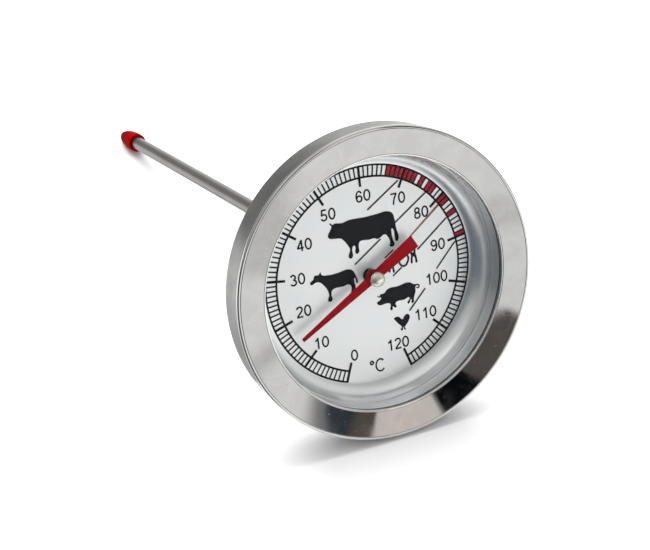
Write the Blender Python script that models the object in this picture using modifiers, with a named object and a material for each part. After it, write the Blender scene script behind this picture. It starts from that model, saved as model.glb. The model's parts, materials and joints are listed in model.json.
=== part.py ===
"""Dial meat thermometer: a steel head with a pointer, a bimetal stem and a red silicone tip cap.

Every piece is drawn about the head's axis, which is local Z: z = 0 is the front of the bezel, the
face looks along +Z, the stem runs along -Z and the 60 degree mark is along +Y. The head_axis empty
then lays the whole thermometer down on the floor, on the bezel's skirt and on the tip cap.
"""

import math

import bmesh
import bpy
from mathutils import Vector

MM = 0.001
GAP = 0.1 * MM  # left between fixed pieces that touch in the real thing
HEAD_SIDES = 48
STEM_SIDES = 24
ARC_STEPS = 5

# Head
BEZEL_R = 28.0 * MM
SKIRT_R = 27.7 * MM
SKIRT_INNER_R = 27.05 * MM
SKIRT_END_Z = -6.3 * MM
LIP_R = 22.7 * MM
LIP_FRONT_Z = -0.6 * MM
LIP_BACK_Z = -1.35 * MM
CASE_R = 26.9 * MM
CASE_WALL = 0.5 * MM
CASE_CORNER_R = 4.6 * MM
CASE_BACK_Z = -11.2 * MM
RECESS_R = 7.8 * MM  # the middle of the back is pressed in round the stem's fixing
RECESS_Z = -10.9 * MM
INNER_PIECE_R = 26.3 * MM
GASKET_INNER_R = 22.85 * MM
GASKET_THICK = 0.4 * MM
LENS_R = 23.2 * MM
LENS_THICK = 1.1 * MM
DISH_R = 22.6 * MM
DISH_COVE_R = 3.1 * MM
DIAL_Z = -7.7 * MM
DIAL_THICK = 0.4 * MM
DIAL_HOLE_R = 1.2 * MM
SPACER_R = 16.0 * MM
SPACER_WALL = 3.0 * MM

# Fixing of the stem in the middle of the case back
SPIGOT_R = 2.9 * MM
SPIGOT_TOP_Z = -8.4 * MM
FERRULE_R = 5.8 * MM
FERRULE_END_R = 2.3 * MM
FERRULE_END_Z = -19.0 * MM
FERRULE_RIM = 1.2 * MM
SEAL_R = 5.2 * MM
SEAL_THICK = 0.4 * MM
WASHER_R = 5.0 * MM
WASHER_THICK = 0.4 * MM
NUT_ACROSS_FLATS = 8.0 * MM
NUT_THICK = 1.3 * MM

# Stem
STEM_R = 1.5 * MM
STEM_BORE_R = 1.1 * MM
STEM_END_Z = -140.6 * MM
TIP_Z = -143.0 * MM
GUIDE_R = 1.04 * MM
GUIDE_BORE_R = 0.42 * MM
UPPER_GUIDE_Z = (-14.0 * MM, -18.0 * MM)
LOWER_GUIDE_Z = (-108.0 * MM, -111.0 * MM)
ANCHOR_Z = -139.3 * MM

# Movement
SPINDLE_R = 0.35 * MM
SPINDLE_TOP_Z = -5.45 * MM
SPINDLE_END_Z = -113.2 * MM
COLLAR_R = 0.9 * MM
HELIX_MEAN_R = 0.74 * MM
HELIX_WIRE_R = 0.14 * MM
HELIX_TOP_Z = -112.7 * MM
HELIX_END_Z = -137.6 * MM
HELIX_TURNS = 14
HELIX_STEPS_PER_TURN = 10

# Pointer, which rests at 16 degrees on a scale that spans 0 to 120
SCALE_START_DEG = 199.0  # clockwise from the 60 degree mark
SCALE_SWEEP_DEG = 322.0
SCALE_SPAN = 120.0
READING = 15.6
POINTER_Z = -5.9 * MM
POINTER_THICK = 0.3 * MM
POINTER_LENGTH = 16.75 * MM
TAIL_LENGTH = 9.75 * MM
ARM_HALF_WIDTHS = (0.8 * MM, 0.28 * MM)
TAIL_HALF_WIDTHS = (0.85 * MM, 1.26 * MM)
EYE_R = 1.45 * MM
EYE_HOLE_R = 0.75 * MM
HUB_R = 1.35 * MM
HUB_SPIGOT_R = 0.68 * MM
RIVET_R = 1.38 * MM
RIVET_TOP_Z = -3.6 * MM

# Tip cap
CAP_R = 2.18 * MM
CAP_BORE_R = 1.56 * MM
CAP_MOUTH_Z = -134.6 * MM
CAP_TAPER_Z = -136.2 * MM
CAP_END_Z = -145.4 * MM
CAP_FLOOR_Z = -143.3 * MM
CAP_STEPS = 12


def clear_scene():
    for obj in list(bpy.data.objects):
        bpy.data.objects.remove(obj, do_unlink=True)


def new_collection(name):
    collection = bpy.data.collections.new(name)
    bpy.context.scene.collection.children.link(collection)
    return collection


def material(name, colour, metallic, roughness, alpha=1.0):
    made = bpy.data.materials.new(name)
    made.use_nodes = True
    shader = made.node_tree.nodes["Principled BSDF"]
    shader.inputs["Base Color"].default_value = (*colour, 1.0)
    shader.inputs["Metallic"].default_value = metallic
    shader.inputs["Roughness"].default_value = roughness
    shader.inputs["Alpha"].default_value = alpha
    made.diffuse_color = (*colour, alpha)
    return made


def arc(centre, radius, start_deg, end_deg, steps=ARC_STEPS):
    """Points (r, z) on a circle, from one angle to another, both ends included."""
    points = []
    for i in range(steps + 1):
        angle = math.radians(start_deg + (end_deg - start_deg) * i / steps)
        points.append((centre[0] + radius * math.cos(angle), centre[1] + radius * math.sin(angle)))
    return points


def ring_profile(inner_r, outer_r, top_z, bottom_z):
    return [(outer_r, top_z), (outer_r, bottom_z), (inner_r, bottom_z), (inner_r, top_z)]


def bezel_profile():
    """The face rises from the lip to a rolled edge; a groove parts that from the skirt behind it."""
    return [
        (LIP_R, LIP_FRONT_Z - 0.15 * MM),
        (LIP_R + 0.3 * MM, LIP_FRONT_Z),
        (BEZEL_R - 3.2 * MM, -0.2 * MM),
        (BEZEL_R - 0.8 * MM, 0.0),
        (BEZEL_R - 0.3 * MM, -0.12 * MM),
        (BEZEL_R, -0.45 * MM),
        (BEZEL_R - 0.05 * MM, -0.8 * MM),
        (SKIRT_R - 0.15 * MM, -1.1 * MM),
        (SKIRT_R, -1.6 * MM),
        (SKIRT_R, SKIRT_END_Z + 0.2 * MM),
        (SKIRT_R - 0.15 * MM, SKIRT_END_Z),
        (SKIRT_INNER_R, SKIRT_END_Z),
        (SKIRT_INNER_R, LIP_BACK_Z),
        (LIP_R, LIP_BACK_Z),
    ]


def case_profile():
    """A drawn cup: straight wall, rounded corner and flat back, with a recess and a hole in it."""
    corner = (CASE_R - CASE_CORNER_R, CASE_BACK_Z + CASE_CORNER_R)
    mouth_z = LIP_BACK_Z - GAP
    return [
        (CASE_R, mouth_z),
        *arc(corner, CASE_CORNER_R, 0, -90),
        (RECESS_R, CASE_BACK_Z),
        (RECESS_R - 0.3 * MM, RECESS_Z),
        (SPIGOT_R + GAP, RECESS_Z),
        (SPIGOT_R + GAP, RECESS_Z + CASE_WALL),
        (RECESS_R - 0.5 * MM, RECESS_Z + CASE_WALL),
        (RECESS_R, CASE_BACK_Z + CASE_WALL),
        *arc(corner, CASE_CORNER_R - CASE_WALL, -90, 0),
        (CASE_R - CASE_WALL, mouth_z),
    ]


def dial_profile():
    """A flat disc whose edge coves up to a flange under the lens."""
    centre = (DISH_R - DISH_COVE_R, DIAL_Z + DISH_COVE_R)
    flange_z = centre[1]
    return [
        (DIAL_HOLE_R, DIAL_Z),
        *arc(centre, DISH_COVE_R, -90, 0),
        (INNER_PIECE_R, flange_z),
        (INNER_PIECE_R, flange_z - DIAL_THICK),
        *arc(centre, DISH_COVE_R + DIAL_THICK, -6, -90),
        (DIAL_HOLE_R, DIAL_Z - DIAL_THICK),
    ]


def ferrule_profile():
    """A spigot through the case back, a rim that seats against it and a cone down to the stem."""
    rim_top = RECESS_Z - SEAL_THICK - 2 * GAP
    bore = STEM_R + 0.05 * MM
    return [
        (SPIGOT_R, SPIGOT_TOP_Z),
        (SPIGOT_R, rim_top),
        (FERRULE_R, rim_top),
        (FERRULE_R, rim_top - FERRULE_RIM),
        (FERRULE_R - 1.6 * MM, rim_top - FERRULE_RIM - 1.0 * MM),
        (FERRULE_END_R, FERRULE_END_Z),
        (bore, FERRULE_END_Z),
        (bore, SPIGOT_TOP_Z),
    ]


def seat_profile(top_z, step_z, bottom_z):
    """A ring whose collar surrounds the lens, with a step under the lens's edge."""
    step_r, collar_r = DISH_R + GAP, LENS_R + GAP
    return [
        (INNER_PIECE_R, top_z),
        (INNER_PIECE_R, bottom_z),
        (step_r, bottom_z),
        (step_r, step_z),
        (collar_r, step_z),
        (collar_r, top_z),
    ]


def cap_profile():
    """An egg-shaped sleeve, open towards the head and closed at its nose."""
    outside = []
    for i in range(CAP_STEPS + 1):
        angle = math.pi / 2 * i / CAP_STEPS
        z = CAP_TAPER_Z + (CAP_END_Z - CAP_TAPER_Z) * math.sin(angle)
        outside.append((CAP_R * math.cos(angle), z))
    outside[-1] = (0.0, CAP_END_Z)
    return [
        (0.0, CAP_FLOOR_Z),
        (0.5 * MM, CAP_FLOOR_Z),
        (CAP_BORE_R, STEM_END_Z - 0.4 * MM),
        (CAP_BORE_R, CAP_MOUTH_Z),
        (CAP_R - 0.2 * MM, CAP_MOUTH_Z),
        (CAP_R, CAP_MOUTH_Z - 0.3 * MM),
        *outside,
    ]


def lowest(profile, sides, lean):
    """How far below the middle of the bezel's front a turned piece reaches when its axis leans."""
    flat = math.cos(math.pi / sides)
    return min(z * math.sin(lean) - r * flat * math.cos(lean) for r, z in profile)


def resting_lean():
    """The lean at which the bezel's skirt and the tip cap touch the floor together."""
    low, high = 0.0, math.radians(30)
    for _ in range(50):
        middle = (low + high) / 2
        if lowest(bezel_profile(), HEAD_SIDES, middle) < lowest(cap_profile(), STEM_SIDES, middle):
            low = middle
        else:
            high = middle
    return low


def resting_place(lean):
    """Where the middle of the bezel's front stands: the box is centred on Y and its base is z = 0."""
    flat = math.cos(math.pi / HEAD_SIDES)
    front = min(-z * math.cos(lean) - r * flat * math.sin(lean) for r, z in bezel_profile())
    back = max(-z * math.cos(lean) + r * math.sin(lean) for r, z in cap_profile())
    return Vector((0.0, -(front + back) / 2, -lowest(bezel_profile(), HEAD_SIDES, lean)))


def empty(name, collection, parent=None):
    made = bpy.data.objects.new(name, None)
    made.empty_display_size = 10 * MM
    made.parent = parent
    collection.objects.link(made)
    return made


def place(obj, finish, collection, parent):
    obj.data.materials.append(finish)
    obj.parent = parent
    collection.objects.link(obj)


def turned(name, profile, finish, collection, parent, sides=STEM_SIDES, whole=False):
    """Turns a profile about local Z; a whole profile ends on the axis instead of closing on itself."""
    mesh = bpy.data.meshes.new(name)
    last = len(profile) - 1
    edges = [(i, i + 1) for i in range(last)]
    if not whole:
        edges.append((last, 0))
    mesh.from_pydata([(r, 0.0, z) for r, z in profile], edges, [])
    obj = bpy.data.objects.new(name, mesh)
    screw = obj.modifiers.new("turn", "SCREW")
    screw.steps = sides
    screw.render_steps = sides
    screw.use_merge_vertices = True
    screw.merge_threshold = 0.001 * MM
    screw.use_smooth_shade = True
    # Half a step round, so that a flat and not a corner faces the floor.
    obj.rotation_euler.z = math.pi / sides
    place(obj, finish, collection, parent)
    return obj


def mirrored(half):
    """The whole outline from its right half, listed from one end to the other."""
    return half + [(-x, y) for x, y in reversed(half)]


def circle(radius, steps):
    return [
        (radius * math.cos(2 * math.pi * i / steps), radius * math.sin(2 * math.pi * i / steps))
        for i in range(steps)
    ]


def add_spline(curve, points, closed):
    spline = curve.splines.new("POLY")
    spline.points.add(len(points) - 1)
    for point, place_at in zip(spline.points, points):
        point.co = (*place_at, 1.0)
    spline.use_cyclic_u = closed


def pointer_outline():
    """A tapering arm along +Y, a round eye and a square-ended tail along -Y."""
    arm_root, arm_tip = ARM_HALF_WIDTHS
    tail_root, tail_end = TAIL_HALF_WIDTHS
    start = math.degrees(math.acos(arm_root / EYE_R))
    end = -math.degrees(math.acos(tail_root / EYE_R))
    half = [(arm_tip, POINTER_LENGTH), *arc((0.0, 0.0), EYE_R, start, end), (tail_end, -TAIL_LENGTH)]
    return mirrored(half)


def make_pointer(finish, collection, parent):
    curve = bpy.data.curves.new("pointer", "CURVE")
    curve.dimensions = "2D"
    curve.fill_mode = "BOTH"
    curve.extrude = POINTER_THICK / 2
    for outline in (pointer_outline(), circle(EYE_HOLE_R, STEM_SIDES)):
        add_spline(curve, [(x, y, 0.0) for x, y in outline], closed=True)
    obj = bpy.data.objects.new("pointer", curve)
    obj.location.z = POINTER_Z
    # The parent empty turns from the 60 degree mark; the arm stands at the reading.
    reading_deg = SCALE_START_DEG + READING * SCALE_SWEEP_DEG / SCALE_SPAN
    obj.rotation_euler.z = -math.radians(reading_deg)
    place(obj, finish, collection, parent)


def make_hub(finish, collection, parent):
    """A turned bush pressed on the spindle, with a flange under the pointer."""
    under = POINTER_Z - POINTER_THICK / 2 - GAP / 2
    bore = SPINDLE_R + 0.04 * MM
    profile = [
        (HUB_SPIGOT_R, RIVET_TOP_Z - 1.05 * MM),
        (HUB_SPIGOT_R, under),
        (HUB_R, under),
        (HUB_R, under - 0.7 * MM),
        (bore, under - 0.7 * MM),
        (bore, RIVET_TOP_Z - 1.05 * MM),
    ]
    turned("pointer_hub", profile, finish, collection, parent)


def make_rivet(finish, collection, parent):
    """A domed button over the hub that holds the pointer down."""
    over = POINTER_Z + POINTER_THICK / 2 + GAP / 2
    bore = HUB_SPIGOT_R + 0.04 * MM
    ceiling = RIVET_TOP_Z - 0.9 * MM
    dome = [
        (RIVET_R * math.sin(math.radians(a)), RIVET_TOP_Z - 0.8 * MM * (1 - math.cos(math.radians(a))))
        for a in (0, 30, 60, 90)
    ]
    profile = [*dome, (RIVET_R, over), (bore, over), (bore, ceiling), (0.0, ceiling)]
    turned("pointer_rivet", profile, finish, collection, parent, whole=True)


def make_spindle(finish, collection, parent):
    profile = [
        (0.0, SPINDLE_TOP_Z),
        (SPINDLE_R, SPINDLE_TOP_Z),
        (SPINDLE_R, SPINDLE_END_Z),
        (0.0, SPINDLE_END_Z),
    ]
    turned("spindle", profile, finish, collection, parent, whole=True)


def make_collar(finish, collection, parent):
    """Clamped on the spindle just under the lower guide; the helix's free end is welded to it."""
    top = LOWER_GUIDE_Z[1] - GAP
    turned("spindle_collar", ring_profile(SPINDLE_R + 0.04 * MM, COLLAR_R, top, top - 1.0 * MM),
           finish, collection, parent)


def make_helix(finish, collection, parent):
    curve = bpy.data.curves.new("bimetal_helix", "CURVE")
    curve.dimensions = "3D"
    curve.bevel_depth = HELIX_WIRE_R
    curve.bevel_resolution = 2
    curve.use_fill_caps = True
    steps = HELIX_TURNS * HELIX_STEPS_PER_TURN
    points = []
    for i in range(steps + 1):
        angle = 2 * math.pi * i / HELIX_STEPS_PER_TURN
        z = HELIX_TOP_Z + (HELIX_END_Z - HELIX_TOP_Z) * i / steps
        points.append((HELIX_MEAN_R * math.cos(angle), HELIX_MEAN_R * math.sin(angle), z))
    add_spline(curve, points, closed=False)
    place(bpy.data.objects.new("bimetal_helix", curve), finish, collection, parent)


def make_anchor(finish, collection, parent):
    """A plug fixed in the stem's end, with a post that the helix's other end is welded to."""
    profile = [
        (0.0, HELIX_END_Z + 1.0 * MM),
        (0.42 * MM, HELIX_END_Z + 1.0 * MM),
        (0.42 * MM, ANCHOR_Z + 1.3 * MM),
        (GUIDE_R, ANCHOR_Z + 1.3 * MM),
        (GUIDE_R, ANCHOR_Z),
        (0.0, ANCHOR_Z),
    ]
    turned("helix_anchor", profile, finish, collection, parent, whole=True)


def make_tip(finish, collection, parent):
    """A pointed plug welded in the stem's open end."""
    profile = [
        (0.0, ANCHOR_Z - GAP),
        (GUIDE_R, ANCHOR_Z - GAP),
        (GUIDE_R, STEM_END_Z - GAP),
        (STEM_R, STEM_END_Z - GAP),
        (0.35 * MM, TIP_Z + 0.1 * MM),
        (0.0, TIP_Z),
    ]
    turned("stem_tip", profile, finish, collection, parent, whole=True)


def prism(name, sides, radius, depth):
    mesh = bpy.data.meshes.new(name)
    shape = bmesh.new()
    bmesh.ops.create_cone(
        shape, cap_ends=True, segments=sides, radius1=radius, radius2=radius, depth=depth
    )
    shape.to_mesh(mesh)
    shape.free()
    return bpy.data.objects.new(name, mesh)


def make_nut(finish, collection, cutters, parent, bottom_z):
    """A thin hexagon nut on the ferrule's spigot, inside the case."""
    nut = prism("ferrule_nut", 6, NUT_ACROSS_FLATS / math.sqrt(3), NUT_THICK)
    bore = prism("nut_bore", STEM_SIDES, SPIGOT_R + GAP, 2 * NUT_THICK)
    place(nut, finish, collection, parent)
    bore.parent = parent
    cutters.objects.link(bore)
    bore.hide_render = True
    bore.display_type = "WIRE"
    for obj in (nut, bore):
        obj.location.z = bottom_z + NUT_THICK / 2
    cut = nut.modifiers.new("bore", "BOOLEAN")
    cut.operation = "DIFFERENCE"
    cut.object = bore


def make_head(finishes, collection, cutters, parent):
    steel, polished = finishes["steel"], finishes["polished"]
    gasket_top = LIP_BACK_Z - GAP
    lens_top = gasket_top - GASKET_THICK - GAP
    step_z = lens_top - LENS_THICK - GAP
    flange_z = DIAL_Z + DISH_COVE_R
    case_floor_z = CASE_BACK_Z + CASE_WALL
    recess_floor_z = RECESS_Z + CASE_WALL
    turned("bezel", bezel_profile(), polished, collection, parent, HEAD_SIDES)
    turned("rear_case", case_profile(), steel, collection, parent, HEAD_SIDES)
    gasket = ring_profile(GASKET_INNER_R, INNER_PIECE_R, gasket_top, gasket_top - GASKET_THICK)
    turned("lens_gasket", gasket, finishes["rubber"], collection, parent, HEAD_SIDES)
    lens = [(0.0, lens_top), (LENS_R, lens_top), (LENS_R, lens_top - LENS_THICK),
            (0.0, lens_top - LENS_THICK)]
    turned("lens", lens, finishes["glass"], collection, parent, HEAD_SIDES, whole=True)
    seat = seat_profile(lens_top, step_z, flange_z + GAP)
    turned("lens_seat_ring", seat, finishes["aluminium"], collection, parent, HEAD_SIDES)
    turned("dial", dial_profile(), finishes["aluminium"], collection, parent, HEAD_SIDES)
    spacer = ring_profile(SPACER_R - SPACER_WALL, SPACER_R, DIAL_Z - DIAL_THICK - GAP, case_floor_z + GAP)
    turned("dial_spacer", spacer, finishes["plastic"], collection, parent, HEAD_SIDES)
    washer_top = recess_floor_z + GAP + WASHER_THICK
    washer = ring_profile(SPIGOT_R + GAP, WASHER_R, washer_top, recess_floor_z + GAP)
    turned("ferrule_washer", washer, steel, collection, parent)
    make_nut(finishes["brass"], collection, cutters, parent, washer_top + GAP)
    seal = ring_profile(SPIGOT_R + GAP, SEAL_R, RECESS_Z - GAP, RECESS_Z - GAP - SEAL_THICK)
    turned("ferrule_seal", seal, finishes["rubber"], collection, parent)


def make_stem(finishes, collection, parent):
    steel, brass = finishes["steel"], finishes["brass"]
    turned("stem_ferrule", ferrule_profile(), steel, collection, parent)
    tube = ring_profile(STEM_BORE_R, STEM_R, SPIGOT_TOP_Z, STEM_END_Z)
    turned("stem_tube", tube, steel, collection, parent)
    make_tip(steel, collection, parent)
    for name, (top, bottom) in (("upper_guide", UPPER_GUIDE_Z), ("lower_guide", LOWER_GUIDE_Z)):
        turned(name, ring_profile(GUIDE_BORE_R, GUIDE_R, top, bottom), brass, collection, parent)
    make_helix(finishes["bimetal"], collection, parent)
    make_anchor(brass, collection, parent)


def make_moving(finishes, collection, parent):
    pointer_axis = empty("pointer_axis", collection, parent)
    make_spindle(finishes["steel"], collection, pointer_axis)
    make_collar(finishes["brass"], collection, pointer_axis)
    make_hub(finishes["brass"], collection, pointer_axis)
    make_pointer(finishes["red_paint"], collection, pointer_axis)
    make_rivet(finishes["polished"], collection, pointer_axis)
    cap_slide = empty("cap_slide", collection, parent)
    turned("tip_cap", cap_profile(), finishes["silicone"], collection, cap_slide, whole=True)


def make_finishes():
    return {
        "steel": material("brushed_steel", (0.56, 0.56, 0.55), 1.0, 0.35),
        "polished": material("polished_steel", (0.72, 0.71, 0.69), 1.0, 0.18),
        "aluminium": material("satin_aluminium", (0.78, 0.79, 0.80), 0.9, 0.4),
        "glass": material("clear_glass", (0.95, 0.97, 0.97), 0.0, 0.02, alpha=0.12),
        "rubber": material("black_rubber", (0.03, 0.03, 0.03), 0.0, 0.7),
        "silicone": material("red_silicone", (0.55, 0.01, 0.03), 0.0, 0.25),
        "red_paint": material("red_paint", (0.45, 0.01, 0.03), 0.0, 0.3),
        "brass": material("brass", (0.75, 0.56, 0.27), 1.0, 0.3),
        "bimetal": material("bimetal_strip", (0.5, 0.42, 0.36), 1.0, 0.4),
        "plastic": material("grey_plastic", (0.35, 0.35, 0.35), 0.0, 0.6),
    }


def main():
    clear_scene()
    collection = new_collection("meat_thermometer")
    cutters = new_collection("cutters")
    finishes = make_finishes()
    lean = resting_lean()
    head_axis = empty("head_axis", collection)
    head_axis.rotation_euler.x = math.pi / 2 - lean
    head_axis.location = resting_place(lean)
    make_head(finishes, collection, cutters, head_axis)
    make_stem(finishes, collection, head_axis)
    make_moving(finishes, collection, head_axis)
    print(f"lean {math.degrees(lean):.4f} degrees, bezel centre {tuple(head_axis.location)}")


main()
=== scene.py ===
"""Looks of the dial meat thermometer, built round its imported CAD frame.

Lengths are in millimetres, turned into metres by MM where a shape is made. Head coordinates have
their origin in the middle of the bezel's front: X to the dial's right, Y to its 60 degree mark and
Z out of its face, so the stem runs along -Z.
"""

import json
import math

import bmesh
import bpy
from mathutils import Matrix, Vector


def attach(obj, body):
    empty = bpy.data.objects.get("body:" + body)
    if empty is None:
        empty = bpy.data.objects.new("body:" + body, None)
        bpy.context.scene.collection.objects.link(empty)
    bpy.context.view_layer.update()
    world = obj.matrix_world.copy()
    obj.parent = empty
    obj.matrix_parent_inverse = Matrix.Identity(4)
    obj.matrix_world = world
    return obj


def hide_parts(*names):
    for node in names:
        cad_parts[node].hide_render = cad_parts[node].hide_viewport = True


MM = 0.001
SEGMENTS = 192
FERRULE_SEGMENTS = 96
FINE_SEGMENTS = 64
CORNER_STEPS = 5

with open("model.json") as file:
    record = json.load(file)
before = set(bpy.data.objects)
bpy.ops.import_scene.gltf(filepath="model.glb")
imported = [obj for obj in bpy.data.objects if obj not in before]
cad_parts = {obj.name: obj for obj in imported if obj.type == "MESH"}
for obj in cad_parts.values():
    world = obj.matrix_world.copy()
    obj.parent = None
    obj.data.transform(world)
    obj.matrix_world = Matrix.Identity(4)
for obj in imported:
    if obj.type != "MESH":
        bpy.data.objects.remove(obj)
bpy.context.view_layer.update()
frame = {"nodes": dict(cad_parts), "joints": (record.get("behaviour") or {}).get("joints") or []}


def head_matrix():
    """Head coordinates, from the axis that the pointer turns on."""
    turn = next(joint for joint in frame["joints"] if joint["name"] == "pointer_turn")
    face = -Vector(turn["axis"]).normalized()
    right = Vector((1.0, 0.0, 0.0))
    up = face.cross(right)
    placed = Matrix((right, up, face)).transposed().to_4x4()
    placed.translation = Vector(turn["pos_m"])
    return placed


HEAD = head_matrix()

# Bezel and case
BEZEL_R = 28.0
SKIRT_R = 27.7
BEAD_R = 27.47
GROOVE_R = 27.1
SKIRT_INNER_R = 27.05
SKIRT_END_Z = -6.3
BRUSHED_BELOW_Z = -0.9
LIP_R = 22.7
LIP_Z = -0.62
LIP_BACK_Z = -1.35
CASE_R = 26.9
CASE_CORNER_R = 4.6
CASE_BACK_Z = -11.2
CASE_WALL = 0.5
RECESS_R = 7.8
RECESS_Z = -10.9

# Stack behind the lip
STACK_R = 26.3
GASKET_R = 22.72
GASKET_Z = (-1.42, -1.62)
LENS_R = 22.65
LENS_Z = (-1.95, -3.05)
SEAT_R = 22.7
SEAT_TOP_Z = -1.66
SEAT_END_Z = -4.5
DISH_R = 22.6
COVE_R = 3.1
DIAL_Z = -7.7
DIAL_THICK = 0.4
DIAL_HOLE_R = 1.2

# Stem, its fixing and the tip cap
SPIGOT_R = 2.9
STEM_R = 1.5
STEM_BORE_R = 1.1
STEM_TOP_Z = -8.4
STEM_END_Z = -140.6
PLUG_R = 1.04
PLUG_TOP_Z = -139.4
TIP_Z = -143.0
FERRULE_R = 5.8
FERRULE_Z = (-11.5, -19.0)
CAP_R = 2.18
CAP_BORE_R = 1.56
CAP_BORE_END_Z = -143.3
CAP_MOUTH_Z = -134.6
CAP_TAPER_Z = -136.2
CAP_END_Z = -145.4

# Scale: degrees are clockwise from the 60 degree mark
SCALE_START = 199.0
DEGREES_PER_UNIT = 322.0 / 120
BAND_OUTER_R = 19.78
BAND_INNER_R = 17.75
MAJOR_INNER_R = 16.15
READING = 15.6
INK_THICK = 0.02

# Pointer
POINTER_Z = -5.9
POINTER_THICK = 0.3
POINTER_EDGE = 0.05
POINTER_LENGTH = 16.75
POINTER_TIP_HALF = 0.28
TAIL_LENGTH = 9.75
TAIL_END_HALF = 1.26
POINTER_HOLE_R = 0.75
EYE_R = 1.45
HUB_R = 1.35
RIVET_R = 1.38
RIVET_TOP_Z = -3.6
RIVET_NECK_R = 0.95


def add(tree, kind, inputs=None, **settings):
    """A node, with its settings made and each input either linked or given its value."""
    made = tree.nodes.new(kind)
    for name, value in settings.items():
        setattr(made, name, value)
    for name, value in (inputs or {}).items():
        if isinstance(value, bpy.types.NodeSocket):
            tree.links.new(value, made.inputs[name])
        else:
            made.inputs[name].default_value = value
    return made


def calc(tree, operation, first, second=0.0, third=0.0):
    made = add(tree, "ShaderNodeMath", {0: first, 1: second, 2: third}, operation=operation)
    return made.outputs[0]


def ramp(tree, value, low, high, out_low=0.0, out_high=1.0):
    """Value carried smoothly from one range to another."""
    made = add(
        tree,
        "ShaderNodeMapRange",
        {"Value": value, "From Min": low, "From Max": high, "To Min": out_low, "To Max": out_high},
        interpolation_type="SMOOTHSTEP",
    )
    return made.outputs["Result"]


def noise(tree, vector, scale, detail=4.0, roughness=0.5, distortion=0.0):
    made = add(
        tree,
        "ShaderNodeTexNoise",
        {"Vector": vector, "Scale": scale, "Detail": detail, "Roughness": roughness,
         "Distortion": distortion},
    )
    return made.outputs["Fac"]


def object_position(tree):
    return add(tree, "ShaderNodeTexCoord").outputs["Object"]


def stretched(tree, vector, scale):
    made = add(tree, "ShaderNodeVectorMath", {0: vector, 1: scale}, operation="MULTIPLY")
    return made.outputs["Vector"]


def round_axis(tree, along, across):
    """A position whose noise runs in streaks round local Z: slow along the circle, fast across it."""
    place = object_position(tree)
    parts = add(tree, "ShaderNodeSeparateXYZ", {0: place}).outputs
    flat = add(tree, "ShaderNodeCombineXYZ", {"X": parts["X"], "Y": parts["Y"]}).outputs[0]
    radius = add(tree, "ShaderNodeVectorMath", {0: flat}, operation="LENGTH").outputs["Value"]
    ring = add(tree, "ShaderNodeVectorMath", {0: flat}, operation="NORMALIZE").outputs["Vector"]
    ring = stretched(tree, ring, (along, along, 0.0))
    depth = calc(tree, "MULTIPLY", calc(tree, "ADD", radius, parts["Z"]), across)
    lift = add(tree, "ShaderNodeCombineXYZ", {"Z": depth}).outputs[0]
    return add(tree, "ShaderNodeVectorMath", {0: ring, 1: lift}, operation="ADD").outputs["Vector"]


def bump(tree, height, strength, distance, normal=None):
    inputs = {"Height": height, "Strength": strength, "Distance": distance}
    if normal is not None:
        inputs["Normal"] = normal
    return add(tree, "ShaderNodeBump", inputs).outputs["Normal"]


def mix_colour(tree, factor, first, second):
    made = add(tree, "ShaderNodeMix", data_type="RGBA")
    for socket, value in ((made.inputs[0], factor), (made.inputs[6], first), (made.inputs[7], second)):
        if isinstance(value, bpy.types.NodeSocket):
            tree.links.new(value, socket)
        elif isinstance(value, tuple):
            socket.default_value = (*value, 1.0)
        else:
            socket.default_value = value
    return made.outputs[2]


def finish(name):
    """A new material, its tree and its shader."""
    made = bpy.data.materials.new(name)
    made.use_nodes = True
    return made, made.node_tree, made.node_tree.nodes["Principled BSDF"]


def feed(tree, shader, **sockets):
    """Links or sets the shader's inputs; underscores in a name stand for spaces."""
    for name, value in sockets.items():
        socket = shader.inputs[name.replace("_", " ")]
        if isinstance(value, bpy.types.NodeSocket):
            tree.links.new(value, socket)
        elif isinstance(value, tuple):
            socket.default_value = (*value, 1.0)
        else:
            socket.default_value = value


def polished_steel():
    """Stainless polished on a wheel: cloudy haze and fine scratches, with the lip and bead edges painted
    brighter as a highlight.
    """
    made, tree, shader = finish("polished_steel")
    place = object_position(tree)
    clouds = noise(tree, place, 260.0, detail=5.0, roughness=0.6, distortion=0.6)
    haze = ramp(tree, clouds, 0.38, 0.68)
    streaks = noise(tree, round_axis(tree, 3.0, 9000.0), 1.0, detail=3.0)
    grain = noise(tree, stretched(tree, place, (900.0, 2600.0, 900.0)), 1.0, detail=5.0, roughness=0.7)
    scratches = ramp(tree, grain, 0.64, 0.72)
    colour = mix_colour(tree, haze, (0.45, 0.446, 0.436), (0.49, 0.486, 0.476))
    flat = stretched(tree, place, (1.0, 1.0, 0.0))
    radius = add(tree, "ShaderNodeVectorMath", {0: flat}, operation="LENGTH").outputs["Value"]
    # Painted highlight: the lip's rounded edge and the bead get a brighter colour, standing in for light
    # catching them.
    painted_edge_highlight = calc(tree, "ADD", ramp(tree, radius, (LIP_R + 0.22) * MM, (LIP_R + 0.28) * MM, 1.0, 0.0),
                ramp(tree, radius, (BEAD_R - 0.05) * MM, (BEAD_R + 0.03) * MM, 0.0, 0.3))
    colour = mix_colour(tree, painted_edge_highlight, colour, (0.88, 0.875, 0.86))
    rough = calc(tree, "MULTIPLY_ADD", haze, 0.03, 0.02)
    rough = calc(tree, "MULTIPLY_ADD", scratches, 0.30, rough)
    uneven = bump(tree, clouds, 0.012, 0.03 * MM)
    fine = bump(tree, streaks, 0.02, 0.01 * MM, uneven)
    feed(tree, shader, Base_Color=colour, Metallic=1.0, Roughness=rough, Normal=fine)
    return made


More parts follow.
